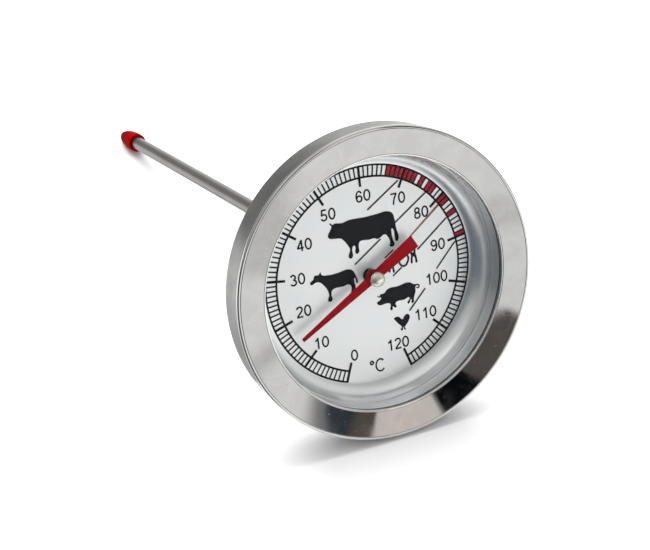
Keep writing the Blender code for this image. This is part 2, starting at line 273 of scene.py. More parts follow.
def brushed_steel(name, along, across, shade=0.52):
    """Stainless brushed round its axis."""
    made, tree, shader = finish(name)
    streaks = noise(tree, round_axis(tree, along, across), 1.0, detail=6.0, roughness=0.65)
    clouds = noise(tree, object_position(tree), 180.0, detail=3.0)
    tone = calc(tree, "MULTIPLY_ADD", calc(tree, "SUBTRACT", streaks, 0.5), 0.5, clouds)
    light = tuple(min(1.0, shade * k * 1.12) for k in (1.0, 0.995, 0.975))
    dark = tuple(shade * k * 0.86 for k in (1.0, 0.995, 0.975))
    colour = mix_colour(tree, ramp(tree, tone, 0.3, 0.7), dark, light)
    rough = ramp(tree, streaks, 0.3, 0.7, 0.22, 0.36)
    feed(tree, shader, Base_Color=colour, Metallic=1.0, Roughness=rough,
         Normal=bump(tree, streaks, 0.12, 0.03 * MM))
    return made


def stem_steel():
    """Drawn tube: fine lines along it and faint rings from polishing."""
    made, tree, shader = finish("stem_steel")
    place = object_position(tree)
    lines = noise(tree, stretched(tree, place, (5200.0, 5200.0, 40.0)), 1.0, detail=4.0)
    rings = noise(tree, stretched(tree, place, (60.0, 60.0, 3500.0)), 1.0, detail=5.0, roughness=0.7)
    clouds = noise(tree, place, 120.0)
    tone = calc(tree, "MULTIPLY_ADD", rings, 0.5, calc(tree, "MULTIPLY", clouds, 0.5))
    colour = mix_colour(tree, ramp(tree, tone, 0.35, 0.65), (0.24, 0.234, 0.224), (0.295, 0.288, 0.277))
    rough = ramp(tree, rings, 0.3, 0.7, 0.28, 0.38)
    feed(tree, shader, Base_Color=colour, Metallic=1.0, Roughness=rough,
         Normal=bump(tree, calc(tree, "ADD", lines, rings), 0.10, 0.02 * MM))
    return made


def satin_aluminium():
    """The dial's dish: fine-blasted aluminium, lacquered white on the flat and barer at the rim."""
    made, tree, shader = finish("satin_aluminium")
    place = object_position(tree)
    grain = noise(tree, place, 5200.0, detail=3.0, roughness=0.7)
    clouds = noise(tree, place, 90.0, detail=2.0)
    flat = stretched(tree, place, (1.0, 1.0, 0.0))
    radius = add(tree, "ShaderNodeVectorMath", {0: flat}, operation="LENGTH").outputs["Value"]
    colour = mix_colour(tree, clouds, (0.88, 0.882, 0.885), (0.91, 0.912, 0.914))
    rough = calc(tree, "ADD", ramp(tree, grain, 0.3, 0.7, -0.03, 0.03),
                 ramp(tree, radius, 0.016, 0.021, 0.44, 0.30))
    lacquer = ramp(tree, radius, 0.0175, 0.0205, 0.58, 1.0)
    feed(tree, shader, Base_Color=colour, Metallic=lacquer, Roughness=rough,
         Normal=bump(tree, grain, 0.06, 0.02 * MM))
    return made


def ink(name, colour):
    """Screen-printed ink: a little uneven in tone."""
    made, tree, shader = finish(name)
    place = object_position(tree)
    cover = noise(tree, place, 1400.0, detail=4.0)
    dark = tuple(k * 0.8 for k in colour)
    light = tuple(k * 1.25 for k in colour)
    feed(tree, shader, Base_Color=mix_colour(tree, ramp(tree, cover, 0.3, 0.7), dark, light),
         Roughness=ramp(tree, cover, 0.3, 0.7, 0.42, 0.58), Specular_IOR_Level=0.15)
    return made


def red_paint():
    """The pointer's sprayed enamel."""
    made, tree, shader = finish("red_paint")
    place = object_position(tree)
    peel = noise(tree, place, 900.0, detail=2.0)
    colour = mix_colour(tree, peel, (0.235, 0.0006, 0.003), (0.28, 0.001, 0.005))
    feed(tree, shader, Base_Color=colour, Roughness=ramp(tree, peel, 0.3, 0.7, 0.38, 0.48),
         Specular_IOR_Level=0.03, Normal=bump(tree, peel, 0.05, 0.05 * MM))
    return made


def red_silicone():
    """The tip cap: smooth dipped silicone that lets a little light in, darkened toward its closed end as
    painted shade.
    """
    made, tree, shader = finish("red_silicone")
    place = object_position(tree)
    blush = noise(tree, place, 420.0, detail=3.0)
    dust = ramp(tree, noise(tree, place, 2600.0, detail=5.0, roughness=0.7), 0.62, 0.72)
    colour = mix_colour(tree, blush, (0.25, 0.0006, 0.002), (0.30, 0.0008, 0.003))
    along = add(tree, "ShaderNodeSeparateXYZ", {0: place}).outputs["Z"]
    # Painted shade: the red is darkened toward the cap's closed end.
    painted_shade_toward_end = ramp(tree, along, (CAP_END_Z + 3.5) * MM, (CAP_MOUTH_Z - 0.5) * MM, 0.85, 0.0)
    colour = mix_colour(tree, painted_shade_toward_end, colour, (0.05, 0.0004, 0.001))
    rough = calc(tree, "MULTIPLY_ADD", dust, 0.15, 0.38)
    feed(tree, shader, Base_Color=colour, Roughness=rough, Subsurface_Weight=0.1, IOR=1.15,
         Specular_IOR_Level=0.02, Normal=bump(tree, blush, 0.08, 0.1 * MM))
    shader.inputs["Subsurface Radius"].default_value = (1.0, 0.2, 0.1)
    shader.inputs["Subsurface Scale"].default_value = 0.6 * MM
    return made


def pearl_metal():
    """The pointer's domed rivet: nickel with a warm tarnish."""
    made, tree, shader = finish("pearl_metal")
    place = object_position(tree)
    tarnish = noise(tree, place, 900.0, detail=4.0)
    colour = mix_colour(tree, ramp(tree, tarnish, 0.35, 0.65), (0.74, 0.70, 0.58), (0.86, 0.83, 0.74))
    feed(tree, shader, Base_Color=colour, Metallic=0.9,
         Roughness=ramp(tree, tarnish, 0.3, 0.7, 0.2, 0.32),
         Normal=bump(tree, tarnish, 0.05, 0.05 * MM))
    return made


def turned_metal(name, dark, light, rough=0.3):
    """A small turned piece with tool marks round its axis."""
    made, tree, shader = finish(name)
    marks = noise(tree, round_axis(tree, 1.5, 14000.0), 1.0, detail=4.0)
    feed(tree, shader, Base_Color=mix_colour(tree, ramp(tree, marks, 0.3, 0.7), dark, light),
         Metallic=1.0, Roughness=ramp(tree, marks, 0.3, 0.7, rough - 0.06, rough + 0.08),
         Normal=bump(tree, marks, 0.1, 0.03 * MM))
    return made


def dull(name, dark, light, rough):
    """Rubber, fibre or moulded plastic: a mottled tone and a fine tooth."""
    made, tree, shader = finish(name)
    tooth = noise(tree, object_position(tree), 1600.0, detail=5.0, roughness=0.65)
    feed(tree, shader, Base_Color=mix_colour(tree, tooth, dark, light),
         Roughness=ramp(tree, tooth, 0.3, 0.7, rough - 0.08, rough + 0.08),
         Normal=bump(tree, tooth, 0.15, 0.05 * MM))
    return made


def clear_glass():
    """Flat glass thin enough not to bend the view: it passes light and adds its reflection."""
    made, tree, shader = finish("clear_glass")
    tree.nodes.remove(shader)
    through = add(tree, "ShaderNodeBsdfTransparent", {"Color": (0.985, 0.992, 0.99, 1.0)})
    gloss = add(tree, "ShaderNodeBsdfGlossy", {"Color": (1.0, 1.0, 1.0, 1.0), "Roughness": 0.0})
    edge = add(tree, "ShaderNodeFresnel", {"IOR": 1.16}).outputs["Fac"]
    outside = calc(tree, "SUBTRACT", 1.0, add(tree, "ShaderNodeNewGeometry").outputs["Backfacing"])
    share = calc(tree, "MULTIPLY", edge, outside)
    both = add(tree, "ShaderNodeMixShader", {0: share, 1: through.outputs[0], 2: gloss.outputs[0]})
    tree.links.new(both.outputs[0], tree.nodes["Material Output"].inputs["Surface"])
    return made


def rounded(corners, closed):
    """A profile of (r, z, radius) corners, each turned into an arc of its radius."""
    points = []
    for i, (r, z, radius) in enumerate(corners):
        here = Vector((r, z))
        at_end = not closed and i in (0, len(corners) - 1)
        if radius == 0 or at_end:
            points.append(here)
            continue
        before = Vector(corners[i - 1][:2]) - here
        after = Vector(corners[(i + 1) % len(corners)][:2]) - here
        half = before.angle(after) / 2
        reach = min(radius / math.tan(half), 0.49 * before.length, 0.49 * after.length)
        inset = (before.normalized() + after.normalized()).normalized() * reach / math.cos(half)
        centre = here + inset
        start = here + before.normalized() * reach - centre
        end = here + after.normalized() * reach - centre
        first = math.atan2(start.y, start.x)
        sweep = (math.atan2(end.y, end.x) - first + math.pi) % (2 * math.pi) - math.pi
        for step in range(CORNER_STEPS + 1):
            angle = first + sweep * step / CORNER_STEPS
            points.append(centre + start.length * Vector((math.cos(angle), math.sin(angle))))
    return points


def arc(centre, radius, start, end, steps=16):
    """Profile corners along a circle, which need no rounding of their own."""
    corners = []
    for step in range(steps + 1):
        angle = math.radians(start + (end - start) * step / steps)
        corners.append((centre[0] + radius * math.cos(angle), centre[1] + radius * math.sin(angle), 0))
    return corners


def show(obj, body, slot, *nodes):
    """Puts a piece on its body, in place of the CAD nodes that it stands for."""
    if obj.name not in bpy.context.scene.collection.objects:
        bpy.context.scene.collection.objects.link(obj)
    obj.matrix_world = HEAD @ obj.matrix_basis
    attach(obj, body)
    if nodes:
        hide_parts(*nodes)
    return obj


def turned(name, corners, finishes, body, slot, *nodes, closed=True, segments=SEGMENTS, second_below=None):
    """A profile turned about local Z. Faces below second_below take the second finish."""
    profile = rounded(corners, closed)
    shape = bmesh.new()
    rings = []
    for r, z in profile:
        if r < 1e-6:
            rings.append([shape.verts.new((0.0, 0.0, z * MM))] * segments)
            continue
        ring = []
        for k in range(segments):
            angle = 2 * math.pi * k / segments
            ring.append(shape.verts.new((r * math.cos(angle) * MM, r * math.sin(angle) * MM, z * MM)))
        rings.append(ring)
    pairs = list(zip(rings, rings[1:]))
    if closed:
        pairs.append((rings[-1], rings[0]))
    for upper, lower in pairs:
        for k in range(segments):
            after = (k + 1) % segments
            quad = [upper[k], lower[k], lower[after], upper[after]]
            shape.faces.new(dict.fromkeys(quad))
    bmesh.ops.recalc_face_normals(shape, faces=shape.faces)
    for face in shape.faces:
        face.smooth = True
        if second_below is not None and face.calc_center_median().z < second_below * MM:
            face.material_index = 1
    mesh = bpy.data.meshes.new(name)
    shape.to_mesh(mesh)
    shape.free()
    for made in finishes:
        mesh.materials.append(made)
    obj = bpy.data.objects.new(name, mesh)
    weigh = obj.modifiers.new("even_normals", "WEIGHTED_NORMAL")
    weigh.keep_sharp = True
    return show(obj, body, slot, *nodes)


def make_bezel(steel, brushed):
    corners = [
        (LIP_R, LIP_BACK_Z, 0.1),
        (LIP_R, LIP_Z, 0.16),
        (LIP_R + 0.20, LIP_Z + 0.03, 0.04),
        (LIP_R + 0.27, LIP_Z - 0.07, 0.02),
        (LIP_R + 0.34, LIP_Z + 0.05, 0.03),
        (BEAD_R - 0.07, 0.0, 0.02),
        (BEAD_R, -0.1, 0.02),
        (BEAD_R + 0.07, -0.01, 0.06),
        (BEZEL_R, -0.02, 0.26),
        (BEZEL_R, -0.82, 0.16),
        (GROOVE_R, -0.95, 0.05),
        (GROOVE_R, -1.2, 0.05),
        (SKIRT_R, -1.38, 0.16),
        (SKIRT_R, SKIRT_END_Z, 0.22),
        (SKIRT_INNER_R, SKIRT_END_Z, 0.1),
        (SKIRT_INNER_R, LIP_BACK_Z, 0.1),
    ]
    turned("bezel_ring", corners, [steel, brushed], "thermometer", "polished_steel", "bezel",
           second_below=BRUSHED_BELOW_Z)


def make_case(brushed):
    corner = (CASE_R - CASE_CORNER_R, CASE_BACK_Z + CASE_CORNER_R)
    hole_r = SPIGOT_R + 0.1
    corners = [
        (CASE_R, LIP_BACK_Z - 0.1, 0.05),
        *arc(corner, CASE_CORNER_R, 0, -90),
        (RECESS_R, CASE_BACK_Z, 0.2),
        (RECESS_R - 0.3, RECESS_Z, 0.2),
        (hole_r, RECESS_Z, 0.1),
        (hole_r, RECESS_Z + CASE_WALL, 0.1),
        (RECESS_R - 0.5, RECESS_Z + CASE_WALL, 0.2),
        (RECESS_R, CASE_BACK_Z + CASE_WALL, 0.2),
        *arc(corner, CASE_CORNER_R - CASE_WALL, -90, 0),
        (CASE_R - CASE_WALL, LIP_BACK_Z - 0.1, 0.05),
    ]
    turned("case_cup", corners, [brushed], "thermometer", "brushed_steel", "rear_case")


def ring_corners(inner_r, outer_r, top_z, bottom_z, edge):
    corners = ((outer_r, top_z), (outer_r, bottom_z), (inner_r, bottom_z), (inner_r, top_z))
    return [(r, z, edge) for r, z in corners]


def make_window(glass, rubber, aluminium):
    turned("gasket_ring", ring_corners(GASKET_R, STACK_R, *GASKET_Z, 0.08), [rubber],
           "thermometer", "black_rubber", "lens_gasket")
    lens = [(0.0, LENS_Z[0], 0), (LENS_R, LENS_Z[0], 0.02), (LENS_R, LENS_Z[1], 0.02), (0.0, LENS_Z[1], 0)]
    turned("window_glass", lens, [glass], "thermometer", "clear_glass", "lens", closed=False)
    seat = [(STACK_R, SEAT_TOP_Z, 0.1), (STACK_R, SEAT_END_Z, 0.1), (SEAT_R, SEAT_END_Z, 0.12),
            (SEAT_R, SEAT_END_Z + 0.3, 0.03), (SEAT_R + 0.08, SEAT_END_Z + 0.35, 0.02),
            (SEAT_R, SEAT_END_Z + 0.4, 0.03), (SEAT_R, SEAT_TOP_Z, 0.04)]
    turned("seat_ring", seat, [aluminium], "thermometer", "satin_aluminium", "lens_seat_ring")


def make_dial(aluminium):
    centre = (DISH_R - COVE_R, DIAL_Z + COVE_R)
    corners = [
        (DIAL_HOLE_R, DIAL_Z, 0.06),
        *arc(centre, COVE_R, -90, 0, steps=28),
        (STACK_R, centre[1], 0.06),
        (STACK_R, centre[1] - DIAL_THICK, 0.06),
        *arc(centre, COVE_R + DIAL_THICK, -8, -90),
        (DIAL_HOLE_R, DIAL_Z - DIAL_THICK, 0.06),
    ]
    turned("dial_dish", corners, [aluminium], "thermometer", "satin_aluminium", "dial")


def polar(radius, clockwise):
    """Where a radius and a clockwise angle from the 60 degree mark lie on the dial."""
    angle = math.radians(clockwise)
    return (radius * math.sin(angle), radius * math.cos(angle))


def at_reading(value):
    return SCALE_START + value * DEGREES_PER_UNIT


def flat_piece(name, loops, made, z, thickness, edge=0.0, smooth=False):
    """Filled outlines in the dial's plane. A smooth loop's corners become curves."""
    curve = bpy.data.curves.new(name, "CURVE")
    curve.dimensions = "2D"
    curve.fill_mode = "BOTH"
    curve.extrude = thickness / 2 * MM
    curve.bevel_depth = edge * MM
    curve.bevel_resolution = 2
    curve.resolution_u = 4
    for loop in loops:
        spline = curve.splines.new("BEZIER" if smooth else "POLY")
        points = spline.bezier_points if smooth else spline.points
        points.add(len(loop) - 1)
        for point, (x, y) in zip(points, loop):
            point.co = (x * MM, y * MM, 0.0) if smooth else (x * MM, y * MM, 0.0, 1.0)
            if smooth:
                point.handle_left_type = "AUTO"
                point.handle_right_type = "AUTO"
        spline.use_cyclic_u = True
    curve.materials.append(made)
    obj = bpy.data.objects.new(name, curve)
    obj.location.z = z * MM
    return obj


def bar(start, end, width, end_width=None):
    """The corners of a straight stroke between two points."""
    start, end = Vector(start), Vector(end)
    side = (end - start).normalized().orthogonal() / 2
    other = side * (end_width or width)
    side = side * width
    return [start + side, end + other, end - other, start - side]


def band(inner_r, outer_r, first, last, steps):
    """A sector of a ring between two clockwise angles."""
    angles = [first + (last - first) * k / steps for k in range(steps + 1)]
    return [polar(outer_r, a) for a in angles] + [polar(inner_r, a) for a in reversed(angles)]


INK_Z = DIAL_Z + INK_THICK / 2 + 0.002
MINOR_WIDTH = 0.27
MAJOR_WIDTH = 0.45
RULE_WIDTH = 0.36
RED_CELLS = (66, 67, 68, 69, 70, 71, 72, 74, 76, 77, 80, 81, 84, 89)


def printed(name, loops, made, layer=0, smooth=False):
    z = INK_Z + layer * 0.012
    return show(flat_piece(name, loops, made, z, INK_THICK, smooth=smooth), "thermometer", "satin_aluminium")


def print_scale(black, red):
    first, last = at_reading(0), at_reading(120)
    half = RULE_WIDTH / 2
    loops = [band(r - half, r + half, first, last, 240) for r in (BAND_OUTER_R, BAND_INNER_R)]
    printed("scale_rules", loops, black, layer=1)
    minor = [bar(polar(BAND_INNER_R, at_reading(t)), polar(BAND_OUTER_R, at_reading(t)), MINOR_WIDTH)
             for t in range(1, 120) if t % 10]
    printed("scale_degrees", minor, black, layer=2)
    major = [bar(polar(MAJOR_INNER_R, at_reading(t)), polar(BAND_OUTER_R + 0.1, at_reading(t)), MAJOR_WIDTH)
             for t in range(0, 121, 10)]
    printed("scale_tens", major, black, layer=3)
    cells = [band(BAND_INNER_R, BAND_OUTER_R, at_reading(t), at_reading(t + 1), 3) for t in RED_CELLS]
    printed("scale_red_cells", cells, red)


FIGURE_HEIGHT = 2.10
FIGURE_WIDTH = 1.36
FIGURE_PITCH = 1.52
FIGURE_STROKE = 0.30
FIGURES = {
    "0": (-4.5, -14.05), "10": (-10.5, -10.1), "20": (-13.15, -3.55), "30": (-13.6, 2.4),
    "40": (-11.6, 8.3), "50": (-6.6, 12.6), "60": (0.35, 14.45), "70": (6.95, 12.6),
    "80": (11.2, 9.05), "90": (13.9, 2.4), "100": (13.05, -3.65), "110": (10.2, -9.7),
    "120": (4.2, -14.05), "*C": (-0.6, -17.1),
}


def oval(x, y, half_width, half_height, start, end):
    """Points of a stroke along an ellipse, between two angles in degrees."""
    steps = max(2, round(abs(end - start) / 9))
    angles = [math.radians(start + (end - start) * k / steps) for k in range(steps + 1)]
    return [(x + half_width * math.cos(a), y + half_height * math.sin(a)) for a in angles]


# Strokes of each figure's middle line, in a box one wide and one high
SIX = (oval(0.51, 0.305, 0.36, 0.245, 0, 360), oval(0.51, 0.5, 0.40, 0.44, 35, 195))
STROKES = {
    "0": (oval(0.5, 0.5, 0.40, 0.44, 0, 360),),
    "1": ([(0.60, 0.0), (0.60, 1.0)], [(0.60, 0.93), (0.40, 0.79), (0.19, 0.72)]),
    "2": (oval(0.49, 0.70, 0.37, 0.24, 168, -38) + [(0.13, 0.10)], [(0.06, 0.06), (0.92, 0.06)]),
    "3": (oval(0.47, 0.73, 0.31, 0.21, 160, -90), oval(0.48, 0.29, 0.37, 0.23, 90, -163)),
    "4": ([(0.70, 0.0), (0.70, 0.98)], [(0.70, 0.94), (0.10, 0.28)], [(0.03, 0.28), (0.96, 0.28)]),
    "5": ([(0.86, 0.94), (0.22, 0.94)], [(0.27, 0.97), (0.18, 0.46)],
          oval(0.48, 0.31, 0.38, 0.25, 143, -163)),
    "6": SIX,
    "7": ([(0.08, 0.94), (0.93, 0.94)], [(0.87, 0.93), (0.60, 0.60), (0.44, 0.30), (0.37, 0.0)]),
    "8": (oval(0.5, 0.735, 0.30, 0.205, 0, 360), oval(0.5, 0.29, 0.37, 0.23, 0, 360)),
    "9": tuple([(1 - x, 1 - y) for x, y in stroke] for stroke in SIX),
    "*": (oval(0.55, 0.83, 0.22, 0.14, 0, 360),),
    "C": (oval(0.62, 0.46, 0.64, 0.54, 42, 318),),
}


def add_stroke(shape, points, width, low, high):
    """A closed flat ribbon along a middle line; a line that ends where it starts becomes a ring."""
    looped = (Vector(points[0]) - Vector(points[-1])).length < 1e-6
    line = [Vector(point) for point in (points[:-1] if looped else points)]
    last = len(line) - 1
    rings = []
    for i, here in enumerate(line):
        before = line[i - 1] if looped or i else here
        after = line[(i + 1) % len(line)] if looped or i < last else here
        side = (after - before).normalized().orthogonal() * width / 2
        rings.append([shape.verts.new((*(here + k * side) * MM, z * MM))
                      for k, z in ((1, high), (-1, high), (-1, low), (1, low))])
    pairs = list(zip(rings, rings[1:])) + ([(rings[-1], rings[0])] if looped else [])
    for one, two in pairs:
        for k in range(4):
            shape.faces.new([one[k], one[(k + 1) % 4], two[(k + 1) % 4], two[k]])
    if not looped:
        shape.faces.new(rings[0])
        shape.faces.new(rings[-1])


def print_strokes(name, strokes, width, made):
    """Strokes of printed line as one piece; each lies a hair higher than the last."""
    low = INK_Z + 0.004
    shape = bmesh.new()
    for k, stroke in enumerate(strokes):
        add_stroke(shape, stroke, width, low, low + INK_THICK + 0.001 * k)
    bmesh.ops.recalc_face_normals(shape, faces=shape.faces)
    mesh = bpy.data.meshes.new(name)
    shape.to_mesh(mesh)
    shape.free()
    mesh.materials.append(made)
    show(bpy.data.objects.new(name, mesh), "thermometer", "satin_aluminium")


def print_figures(black):
    for text, (x, y) in FIGURES.items():
        strokes = []
        for i, sign in enumerate(text):
            left = x + (i - (len(text) - 1) / 2) * FIGURE_PITCH - FIGURE_WIDTH / 2
            bottom = y - FIGURE_HEIGHT / 2
            strokes += [[(left + u * FIGURE_WIDTH, bottom + v * FIGURE_HEIGHT) for u, v in stroke]
                        for stroke in STROKES[sign]]
        name = "figure_" + ("celsius" if text == "*C" else text)
        print_strokes(name, strokes, FIGURE_STROKE, black)


# Leader lines join each animal to its red cells: start and end in the dial's plane
LEADERS = (
    ((7.3, 15.75), (0.9, 11.75)),
    ((12.5, 12.5), (6.0, 8.35)),
    ((2.85, 6.0), (-2.55, 2.5)),
    ((5.05, 3.45), (3.3, 2.35)),
    ((16.05, 6.95), (9.8, 2.4)),
    ((6.4, -0.1), (4.55, -1.3)),
    ((17.35, 2.2), (13.2, -2.0)),
    ((10.6, -5.1), (7.1, -8.5)),
)
LEADER_WIDTH = 0.27


def print_leaders(black, reflection_tinted_ink):
    printed("leader_lines", [bar(a, b, LEADER_WIDTH) for a, b in LEADERS], black, layer=4)
    # The lamb's leader is printed; its brown-red colour is a painted reflection of the red pointer lying
    # over it.
    printed("lamb_leader", [bar((14.7, 9.65), (8.6, 5.1), 0.42, 0.24)], reflection_tinted_ink, layer=4)


# Animals, each an outline that faces left
COW = (
    (-7.05, 8.75), (-6.45, 9.75), (-6.2, 10.3), (-6.5, 10.95), (-5.9, 10.55), (-5.65, 10.7), (-4.2, 10.5),
    (-2.8, 10.75), (0.2, 10.6), (2.6, 10.65), (4.6, 10.7), (5.55, 10.2), (5.9, 9.2), (6.05, 7.5),
    (6.25, 5.05), (5.85, 4.9), (5.65, 5.5), (5.5, 7.1), (5.25, 7.4), (5.1, 6.9), (5.2, 5.5), (5.35, 4.2),
    (4.5, 4.35), (4.65, 5.0), (4.35, 6.0), (3.75, 6.65), (2.7, 6.2), (2.15, 6.15), (1.7, 6.4), (0.6, 6.35),
    (-1.1, 6.45), (-1.4, 5.95), (-1.65, 4.4), (-2.15, 4.5), (-2.1, 5.7), (-2.35, 5.95), (-2.7, 5.6),
    (-2.9, 3.85), (-3.5, 3.95), (-3.15, 5.5), (-3.45, 6.2), (-4.3, 7.45), (-4.7, 7.8), (-5.8, 8.0),
    (-6.85, 8.3),
)
CALF = (
    (-11.4, 1.05), (-10.7, 1.65), (-10.35, 2.3), (-9.6, 2.25), (-9.2, 2.65), (-9.1, 2.2), (-7.7, 1.8),
    (-5.9, 1.8), (-3.8, 1.95), (-3.05, 1.5), (-2.65, 0.6), (-2.35, -0.9), (-2.55, -0.95), (-2.9, 0.15),
    (-3.0, -0.2), (-3.05, -2.2), (-3.75, -2.4), (-3.65, -1.7), (-3.7, -1.15), (-4.25, -0.75), (-5.1, -0.9),
    (-7.3, -1.05), (-7.6, -1.8), (-7.6, -2.95), (-8.3, -2.9), (-8.05, -1.85), (-8.2, -1.0), (-8.8, 0.1),
    (-9.7, 0.95), (-10.4, 1.0), (-11.0, 0.75),
)
PIG = (
    (0.9, -5.5), (1.55, -5.15), (1.8, -4.7), (1.4, -4.65), (1.1, -4.2), (1.45, -4.45), (1.75, -4.1),
    (2.4, -4.1), (3.25, -3.45), (5.3, -3.4), (7.55, -3.2), (8.5, -3.8), (9.3, -3.95), (9.6, -4.35),
    (9.2, -4.75), (8.85, -4.45), (9.15, -4.5), (9.3, -4.3), (8.85, -4.2), (8.65, -5.2), (8.2, -6.35),
    (8.0, -7.2), (7.65, -7.1), (7.7, -6.45), (7.1, -7.15), (6.85, -7.0), (7.35, -6.05), (6.3, -6.2),
    (4.5, -6.4), (4.6, -7.2), (4.2, -7.15), (3.95, -6.9), (3.8, -7.5), (3.4, -7.45), (3.5, -6.35),
    (2.8, -6.05), (1.45, -6.1), (1.1, -5.9),
)
HEN = (
    (3.9, -9.3), (4.2, -9.05), (4.9, -9.15), (5.55, -9.75), (6.0, -9.2), (6.6, -9.0), (7.0, -9.4),
    (6.8, -10.2), (6.15, -11.0), (5.85, -11.3), (6.0, -11.85), (5.65, -11.6), (5.55, -11.25),
    (5.4, -11.8), (5.0, -11.7), (5.25, -11.2), (4.65, -10.4), (4.15, -9.7),
)
# The lamb grazes: a woolly back, with its legs and the tuft below its belly drawn in lines
LAMB = (
    (2.75, 0.1), (2.8, 0.8), (3.15, 1.3), (3.35, 1.75), (3.6, 1.45), (4.1, 1.95), (4.3, 2.35), (4.75, 2.3),
    (5.05, 2.8), (5.6, 2.7), (5.95, 3.2), (6.5, 3.05), (6.9, 3.5), (7.45, 3.35), (7.9, 3.75), (8.4, 3.5),
    (8.95, 3.6), (9.1, 3.2), (9.5, 2.9), (9.35, 2.7), (8.5, 2.3), (8.0, 2.05), (7.0, 1.55), (6.0, 1.15),
    (5.2, 0.85), (4.7, 0.75), (4.1, 0.35), (3.7, 0.45), (3.3, 0.3), (3.1, -0.1),
)
LAMB_LEGS = (
    [(4.05, 0.7), (3.95, -0.5)],
    [(4.65, 1.0), (4.7, 0.3), (4.8, -0.72)],
    [(5.95, 1.2), (6.1, 0.6), (6.45, 0.15), (6.9, -0.02), (7.35, 0.15), (7.75, 0.75), (7.9, 1.35),
     (7.7, 1.8)],
    [(8.4, 2.5), (8.65, 1.6), (8.5, 1.0), (8.45, 0.15)],
    [(9.3, 2.9), (9.15, 1.9), (9.35, 1.1), (9.4, 0.1)],
    [(8.45, 2.2), (9.3, 1.2)],
    [(8.5, 1.15), (9.3, 2.3)],
)
LAMB_STROKE = 0.38


def print_animals(black):
    for name, outline in (("cow", COW), ("calf", CALF), ("pig", PIG), ("hen", HEN), ("lamb", LAMB)):
        printed("print_" + name, [outline], black, layer=1, smooth=True)
    print_strokes("print_lamb_legs", LAMB_LEGS, LAMB_STROKE, black)


def pointer_outline():
    """A tapering arm along +Y, a round eye and a square-ended tail along -Y."""
    half = [(POINTER_TIP_HALF, POINTER_LENGTH)]
    for angle in range(56, -56, -6):
        turn = math.radians(angle)
        half.append((EYE_R * math.cos(turn), EYE_R * math.sin(turn)))
    half.append((TAIL_END_HALF, -TAIL_LENGTH))
    return half + [(-x, y) for x, y in reversed(half)]


def make_pointer(paint, bare, pearl, bush):
    inner = [(x * 0.97, y * 0.997) for x, y in pointer_outline()]
    hole = [polar(POINTER_HOLE_R, 90.0 - 11.25 * k) for k in range(32)]
    arm = flat_piece("pointer_needle", [inner, hole], paint, POINTER_Z, POINTER_THICK - 2 * POINTER_EDGE,
                     edge=POINTER_EDGE)
    turn = -math.radians(at_reading(READING))
    arm.rotation_euler.z = turn
    show(arm, "pointer_assembly", "red_paint", "pointer")
    below = flat_piece("pointer_underside", [inner, hole], bare, POINTER_Z - 0.16, 0.02)
    below.rotation_euler.z = turn
    show(below, "pointer_assembly", "red_paint")
    over = POINTER_Z + 0.2
    bore = 0.72
    dome = [(RIVET_R * math.sin(math.radians(a)), RIVET_TOP_Z - 0.8 * (1 - math.cos(math.radians(a))), 0)
            for a in range(0, 91, 6)]
    corners = [*dome, (RIVET_R - 0.1, RIVET_TOP_Z - 1.0, 0.08), (RIVET_NECK_R, RIVET_TOP_Z - 1.05, 0.1),
               (RIVET_NECK_R, over, 0.05), (bore, over, 0.02), (bore, RIVET_TOP_Z - 0.9, 0.05),
               (0.0, RIVET_TOP_Z - 0.9, 0)]
    turned("rivet_button", corners, [pearl], "pointer_assembly", "polished_steel", "pointer_rivet",
           closed=False, segments=FINE_SEGMENTS)
    rim_r = RIVET_NECK_R + 0.06
    rim = [(rim_r, over, 0.03), (rim_r, over + 0.4, 0.1), (RIVET_R - 0.08, over + 0.4, 0.12),
           (RIVET_R, over, 0.03)]
    turned("eye_rim", rim, [paint], "pointer_assembly", "red_paint", segments=FINE_SEGMENTS)
    under = POINTER_Z - 0.2
    hub = [(0.68, RIVET_TOP_Z - 1.05, 0.05), (0.68, under, 0.02), (HUB_R, under, 0.05),
           (HUB_R, under - 0.7, 0.1), (0.39, under - 0.7, 0.05), (0.39, RIVET_TOP_Z - 1.05, 0.05)]
    turned("hub_bush", hub, [bush], "pointer_assembly", "brass", "pointer_hub", segments=FINE_SEGMENTS)


